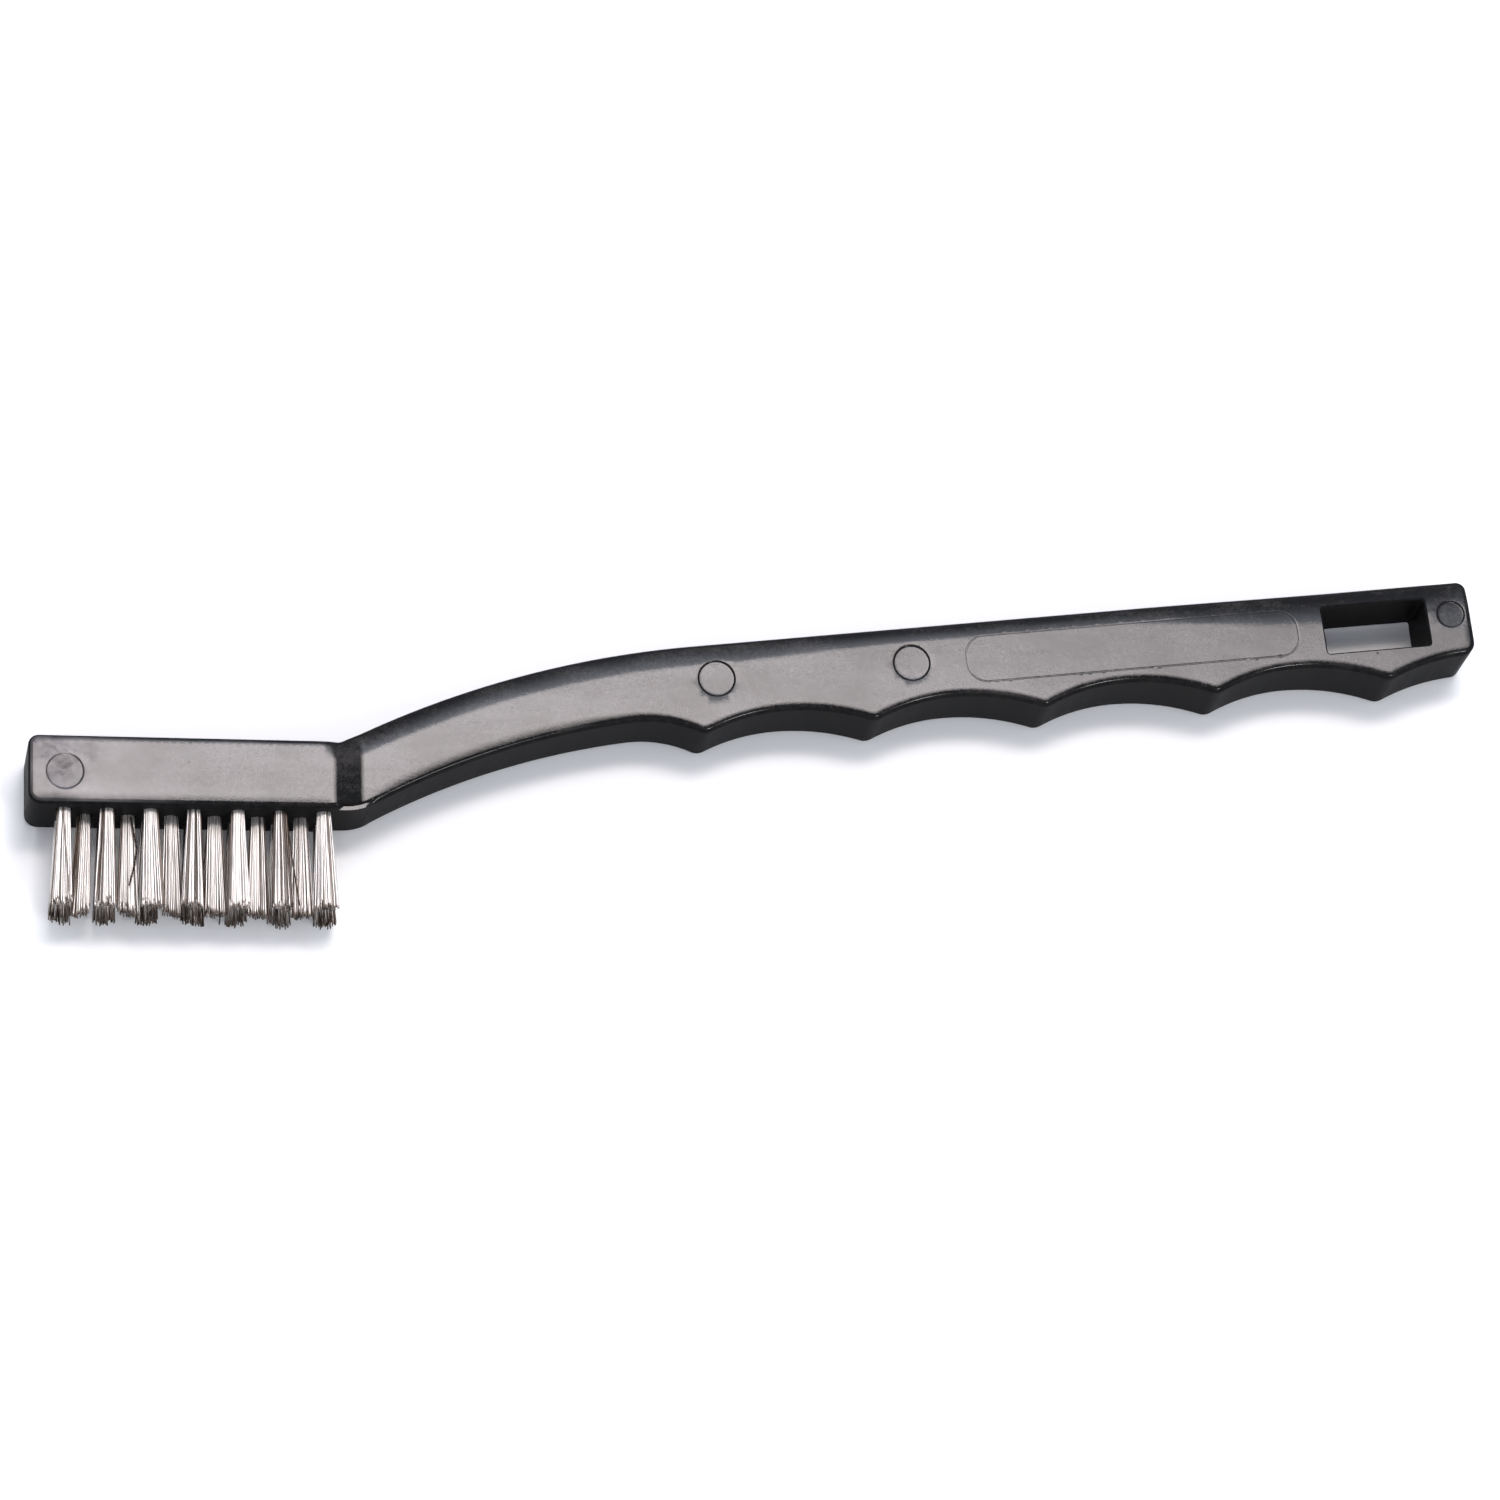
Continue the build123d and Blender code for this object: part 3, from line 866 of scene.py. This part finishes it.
# The loose wire's way (across, down) in mm, and its height over the tuft behind it
STRAY_ROUTE = [(0.35, -0.4), (0.7, -2.6), (1.05, -4.6), (0.75, -6.8), (0.1, -9.4)]
STRAY_STEPS = 120
STRAY_TWIST = 0.075 * MM
STRAY_PITCH = 0.75 * MM
STRAY_SHADES = [0.0, 0.12]
BUNDLE_FRONT = 1.15 * MM
BUNDLE_FLARE = 0.75 * MM
BUNDLE_LENGTH = 12 * MM


def make_stray_wire(material):
    """Two fine wires twisted together, lying slack over the second middle tuft."""
    start = box_middle("tuft_middle_2")
    route = np.array(STRAY_ROUTE) * MM
    share = np.linspace(0, len(route) - 1, STRAY_STEPS)
    x, y = (np.interp(share, range(len(route)), column) for column in route.T)
    z = BUNDLE_FRONT + np.interp(-y, [0, BUNDLE_LENGTH], [0, BUNDLE_FLARE])
    turn = y / STRAY_PITCH * 2 * math.pi
    paths = []
    for phase in (0, math.pi):
        across = STRAY_TWIST * np.cos(turn + phase)
        rise = STRAY_TWIST * np.sin(turn + phase)
        paths.append(np.stack([start[0] + x + across, ORIGIN[1] + y, start[2] + z + rise], 1))
    vertices, faces = tube(np.array(paths), STRAY_TWIST, WIRE_SIDES)
    piece = make_piece("stray_wire", vertices, faces, WIRE_SHARP)
    add_shade(piece, np.repeat(STRAY_SHADES, STRAY_STEPS * WIRE_SIDES))
    piece.data.materials.append(material)
    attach(piece, "root")


# ---------------------------------------------------------------- materials
class Tree:
    """Short hand for wiring any node tree."""

    def __init__(self, tree):
        self.tree = tree

    def new(self, kind, **settings):
        node = self.tree.nodes.new(kind)
        for key, value in settings.items():
            setattr(node, key, value)
        return node

    def link(self, source, target):
        self.tree.links.new(source, target)

    def feed(self, source, socket):
        """Puts a number, a colour or another node's output into a socket."""
        if isinstance(source, (int, float)):
            socket.default_value = source
        elif isinstance(source, tuple):
            socket.default_value = (*source, 1)
        else:
            self.link(source, socket)

    def math(self, operation, a, b=0.5):
        node = self.new("ShaderNodeMath", operation=operation)
        self.feed(a, node.inputs[0])
        self.feed(b, node.inputs[1])
        return node.outputs[0]

    def span(self, value, low, high, to=(0.0, 1.0), easing="SMOOTHSTEP"):
        """Goes from one output value to the other as the input goes from low to high."""
        node = self.new("ShaderNodeMapRange", interpolation_type=easing)
        for name, number in zip(("From Min", "From Max", "To Min", "To Max"), (low, high, *to)):
            node.inputs[name].default_value = number
        self.link(value, node.inputs["Value"])
        return node.outputs["Result"]

    def split(self, vector):
        node = self.new("ShaderNodeSeparateXYZ")
        self.link(vector, node.inputs[0])
        return node.outputs


class Nodes(Tree):
    """Short hand for wiring a material's nodes."""

    def __init__(self, name):
        self.material = bpy.data.materials.new(name)
        self.material.use_nodes = True
        super().__init__(self.material.node_tree)
        self.shader = self.tree.nodes["Principled BSDF"]
        self.place = self.new("ShaderNodeTexCoord").outputs["Object"]

    def set(self, **values):
        """Shader inputs by name, with _ for a space: numbers, or outputs of other nodes."""
        for name, value in values.items():
            self.feed(value, self.shader.inputs[name.replace("_", " ")])

    def noise(self, scale, detail=3.0, stretch=(1, 1, 1), rough=0.5):
        mapping = self.new("ShaderNodeMapping")
        mapping.inputs["Scale"].default_value = [scale * s for s in stretch]
        self.link(self.place, mapping.inputs["Vector"])
        node = self.new("ShaderNodeTexNoise")
        node.inputs["Scale"].default_value = 1.0
        node.inputs["Detail"].default_value = detail
        node.inputs["Roughness"].default_value = rough
        self.link(mapping.outputs["Vector"], node.inputs["Vector"])
        return node.outputs["Fac"]

    def cells(self, scale):
        node = self.new("ShaderNodeTexVoronoi")
        node.inputs["Scale"].default_value = scale
        self.link(self.place, node.inputs["Vector"])
        return node.outputs["Distance"]

    def distance(self, point):
        """Distance from a point of the row frame."""
        node = self.new("ShaderNodeVectorMath", operation="DISTANCE")
        self.link(self.place, node.inputs[0])
        node.inputs[1].default_value = point
        return node.outputs["Value"]

    def ramp(self, value, *stops):
        """Colour ramp; each stop is a position and a colour or a grey value."""
        node = self.new("ShaderNodeValToRGB")
        elements = node.color_ramp.elements
        while len(elements) < len(stops):
            elements.new(0.5)
        for element, (position, colour) in zip(elements, stops):
            element.position = position
            element.color = (colour,) * 3 + (1,) if isinstance(colour, float) else (*colour, 1)
        self.link(value, node.inputs["Fac"])
        return node.outputs["Color"]

    def mix(self, share, a, b, mode="MIX"):
        node = self.new("ShaderNodeMix", data_type="RGBA", blend_type=mode)
        for source, index in ((share, 0), (a, 6), (b, 7)):
            self.feed(source, node.inputs[index])
        return node.outputs[2]

    def bump(self, height, distance, strength=1.0, normal=None):
        node = self.new("ShaderNodeBump")
        node.inputs["Distance"].default_value = distance
        node.inputs["Strength"].default_value = strength
        self.link(height, node.inputs["Height"])
        if normal is not None:
            self.link(normal, node.inputs["Normal"])
        return node.outputs["Normal"]


# Ramp of the wires' shade: its bright end is the steel's own tone, its dark end the painted shade of the
# shaded wires and tips and the loose wire's dark colour.
WIRE_TONES_AND_SHADE = [
    (0.0, (0.06, 0.038, 0.028)),
    (0.3, (0.27, 0.225, 0.19)),
    (0.55, (0.86, 0.82, 0.775)),
    (1.0, (0.97, 0.935, 0.885)),
]


def steel():
    """Stainless wire: bright, with a shade per wire; the dark wires and the dark tips are painted shade.
    """
    n = Nodes("stainless_wire")
    shade = n.new("ShaderNodeAttribute", attribute_name="shade").outputs["Fac"]
    stain = n.ramp(n.noise(1500, 2, (1, 0.12, 1)), (0.30, 0.75), (0.45, 1.0))
    n.set(
        Base_Color=n.mix(1.0, n.ramp(shade, *WIRE_TONES_AND_SHADE), stain, "MULTIPLY"),
        Roughness=n.ramp(n.noise(4000, 2, (1, 0.1, 1)), (0.3, 0.38), (0.7, 0.52)),
        Normal=n.bump(n.noise(9000, 2, (1, 0.2, 1)), 0.002 * MM),
        Metallic=1.0,
    )
    return n.material


# Painted shade round the upper part of the head mark, a darker reflection, in design millimetres
MARK_SHADE_PLACE = (4.0, 7.2, 5.4)
MARK_SHADE_INNER = 2.2 * MM
MARK_SHADE_OUTER = 6.2 * MM
# Painted light: the nose end is painted greyer, as a lighter reflection, up to here
NOSE_LIGHT_END_X = -92 * MM
NOSE_LIGHT_START_X = -70 * MM
NOSE_LIGHT_COLOUR = (0.110, 0.098, 0.100)
HAZE_DARK = (0.0008, 0.0008, 0.001)
HAZE_LIGHT = (0.034, 0.030, 0.028)
PLASTIC_IOR = 1.5


def flank_plastic():
    """Glossy black plastic of the flanks, hazy with handling and moulding flow, with painted light at the
    nose end and painted shade round the head mark.
    """
    n = Nodes("glossy_plastic")
    mottle = n.noise(1500, 4, rough=0.75)
    speckle = n.noise(5200, 2, rough=0.8)
    flow = n.noise(700, 3, (0.08, 1.0, 1.0))
    smudge = n.noise(110, 3)
    haze = n.mix(0.3, n.mix(0.3, n.mix(0.45, mottle, speckle), flow), smudge)
    # Painted light: the base colour is made lighter towards the nose end, mottled by the smudge noise.
    nose_light_fade = n.ramp(n.span(n.split(n.place)[0], NOSE_LIGHT_END_X, NOSE_LIGHT_START_X), (0.0, NOSE_LIGHT_COLOUR), (1.0, 0.0))
    nose_light = n.mix(1.0, nose_light_fade, n.ramp(smudge, (0.4, 0.25), (0.6, 1.0)), "MULTIPLY")
    grain = n.bump(speckle, 0.006 * MM, 0.6, n.bump(mottle, 0.014 * MM, 0.5))
    pits = n.ramp(n.cells(230), (0.0, 0.0), (0.036, 1.0))
    smears = n.mix(0.4, smudge, n.noise(330, 4, (0.25, 1.0, 1.0), 0.65))
    streaks = n.mix(0.5, smears, n.mix(0.5, mottle, speckle))
    tint = n.ramp(streaks, (0.40, (0.70, 0.69, 0.68)), (0.59, 1.0))
    # Painted shade: blotches that darken the reflection round the head mark.
    shade_blotch = n.ramp(n.noise(420, 4, rough=0.7), (0.42, (0.48, 0.47, 0.48)), (0.62, 1.0))
    from_mark_shade = n.distance(Vector(ORIGIN + np.array(MARK_SHADE_PLACE) * MM))
    mark_shade = n.mix(n.span(from_mark_shade, MARK_SHADE_INNER, MARK_SHADE_OUTER), shade_blotch, (1.0, 1.0, 1.0))
    n.set(
        Base_Color=n.mix(1.0, n.ramp(haze, (0.49, HAZE_DARK), (0.64, HAZE_LIGHT)), nose_light, "ADD"),
        Roughness=n.ramp(haze, (0.35, 0.08), (0.65, 0.17)),
        Normal=n.bump(pits, 0.04 * MM, 0.8, grain),
        Specular_Tint=n.mix(1.0, tint, mark_shade, "MULTIPLY"),
        Specular_IOR_Level=0.28,
        IOR=PLASTIC_IOR,
    )
    return n.material


def rim_plastic():
    """The same plastic on the steep faces, the rim, the holes and the bristle face: partly a duller
    moulded finish, partly painted shade that keeps these faces dark.
    """
    n = Nodes("dull_shaded_plastic")
    mottle = n.noise(1300, 4, rough=0.7)
    drag = n.noise(900, 2, (1.0, 1.0, 0.08))
    tone = n.mix(0.4, mottle, drag)
    n.set(
        Base_Color=n.ramp(tone, (0.35, (0.007, 0.007, 0.0074)), (0.65, (0.017, 0.0163, 0.016))),
        Roughness=n.ramp(tone, (0.35, 0.34), (0.65, 0.5)),
        Normal=n.bump(tone, 0.012 * MM, 0.6),
        # Painted shade: the reflection is nearly taken out, so these faces stay dark whatever lies beside
        # them.
        Specular_IOR_Level=0.012,
        IOR=PLASTIC_IOR,
    )
    return n.material


def anchor_metal():
    """Bright flat wire, drawn lengthwise."""
    n = Nodes("anchor_metal")
    drawn = n.noise(4000, 2, (0.05, 1.0, 1.0))
    n.set(
        Base_Color=n.ramp(drawn, (0.3, (0.52, 0.50, 0.47)), (0.7, (0.68, 0.66, 0.63))),
        Roughness=n.ramp(drawn, (0.3, 0.22), (0.7, 0.4)),
        Normal=n.bump(drawn, 0.003 * MM),
        Metallic=1.0,
    )
    return n.material


def floor_paint():
    """Plain pale matt paint."""
    n = Nodes("pale_floor")
    tone = n.noise(30, 2)
    n.set(
        Base_Color=n.ramp(tone, (0.3, (0.945, 0.945, 0.925)), (0.7, (0.955, 0.955, 0.935))),
        Roughness=0.9,
        Specular_IOR_Level=0.1,
    )
    return n.material


# ---------------------------------------------------------------- stage
FLOOR_HALF = 6.0


def make_floor():
    mesh = bpy.data.meshes.new("floor")
    s, z = FLOOR_HALF, CAD_LOW.z
    mesh.from_pydata([(-s, -s, z), (s, -s, z), (s, s, z), (-s, s, z)], [], [(0, 1, 2, 3)])
    floor = bpy.data.objects.new("floor", mesh)
    bpy.context.scene.collection.objects.link(floor)
    mesh.materials.append(floor_paint())


def make_panel(name, place, size, radiance, turn):
    """Area lamp that the camera cannot see, of an even radiance over its whole size."""
    data = bpy.data.lights.new(name, "AREA")
    data.shape = "RECTANGLE"
    data.size, data.size_y = size
    data.energy = radiance * math.pi * size[0] * size[1]
    lamp = bpy.data.objects.new(name, data)
    lamp.location = place
    lamp.rotation_euler = turn
    lamp.visible_camera = False
    bpy.context.scene.collection.objects.link(lamp)
    return data


SOFTBOX_PLACE = (0.0635, 0.269, 1.0)
SOFTBOX_SIZE = (0.66, 0.20)
SOFTBOX_TURN = (0.0, 0.0, math.radians(5.9))
SOFTBOX_RADIANCE = 18.3
SOFTBOX_COLOUR = (1.0, 0.89, 0.845)
# Fades over the panel, as shares of its length and of its width
SOFTBOX_FADE_IN = 0.25
SOFTBOX_DIM = (0.58, 0.96)
SOFTBOX_DIM_END = 0.44
SOFTBOX_FRONT_FADE = 0.6
SOFTBOX_FRONT_LEVEL = 0.1


def make_softbox():
    """Long panel overhead and a little behind, whose mirror image fills the upper flank."""
    data = make_panel("softbox", SOFTBOX_PLACE, SOFTBOX_SIZE, SOFTBOX_RADIANCE, SOFTBOX_TURN)
    data.color = SOFTBOX_COLOUR
    data.use_nodes = True
    tree = Tree(data.node_tree)
    along, across, _ = tree.split(tree.new("ShaderNodeNewGeometry").outputs["Parametric"])
    dim = tree.span(along, *SOFTBOX_DIM, (1.0, SOFTBOX_DIM_END), "LINEAR")
    front = tree.span(across, 0.0, SOFTBOX_FRONT_FADE, (SOFTBOX_FRONT_LEVEL, 1.0))
    start = tree.span(along, 0.0, SOFTBOX_FADE_IN)
    strength = tree.math("MULTIPLY", tree.math("MULTIPLY", dim, front), start)
    tree.link(strength, data.node_tree.nodes["Emission"].inputs["Strength"])


GLINT_PLACE = (0.40, -0.50, 0.80)
GLINT_SIZE = (0.14, 0.14)
GLINT_RADIANCE = 30.0


def make_glint():
    """Small panel in front that draws a fine highlight on the rounded edges."""
    turn = Vector(GLINT_PLACE).to_track_quat("Z", "Y").to_euler()
    make_panel("glint", GLINT_PLACE, GLINT_SIZE, GLINT_RADIANCE, turn)


AMBIENT = 0.78
# Bluish glow behind the softbox, in units of its height overhead
HALO_STRENGTH = 8.4
HALO_COLOUR = (0.84, 0.88, 1.0)
HALO_CENTRE_X = 0.09
HALO_WIDTH_X = 0.21
HALO_EDGE_Y = 0.36
HALO_FADE_Y = 0.46
HALO_FRONT = (-0.18, -0.06)
LOWEST_UP = 0.05


def make_world():
    """Even light from all round, with the bluish glow."""
    world = bpy.data.worlds.new("world")
    bpy.context.scene.world = world
    world.use_nodes = True
    world.node_tree.nodes.clear()
    tree = Tree(world.node_tree)
    x, y, z = tree.split(tree.new("ShaderNodeTexCoord").outputs["Generated"])
    up = tree.math("MAXIMUM", z, LOWEST_UP)
    side = tree.math("SUBTRACT", tree.math("DIVIDE", x, up), HALO_CENTRE_X)
    side = tree.math("DIVIDE", side, HALO_WIDTH_X)
    back = tree.math("SUBTRACT", tree.math("DIVIDE", y, up), HALO_EDGE_Y)
    fade = tree.math("DIVIDE", tree.math("MAXIMUM", back, 0.0), HALO_FADE_Y)
    spread = tree.math("ADD", tree.math("MULTIPLY", side, side), fade)
    halo = tree.math("EXPONENT", tree.math("MULTIPLY", spread, -1.0))
    halo = tree.math("MULTIPLY", tree.math("MULTIPLY", halo, tree.span(back, *HALO_FRONT)), HALO_STRENGTH)
    background = tree.new("ShaderNodeBackground")
    tree.feed(HALO_COLOUR, background.inputs["Color"])
    tree.feed(tree.math("ADD", halo, AMBIENT), background.inputs["Strength"])
    tree.link(background.outputs[0], tree.new("ShaderNodeOutputWorld").inputs["Surface"])


# ---------------------------------------------------------------- scene
make_camera()
make_floor()
make_world()
make_softbox()
make_glint()
bpy.context.scene.view_settings.view_transform = "Standard"
wire_metal = steel()
plastic = flank_plastic()
make_handle(plastic, rim_plastic())
make_tufts(wire_metal)
make_stray_wire(wire_metal)
node_materials = {"handle": plastic, "tuft": wire_metal, "anchor": anchor_metal()}
for node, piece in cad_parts.items():
    piece.data.materials.clear()
    piece.data.materials.append(node_materials[node.split("_")[0]])
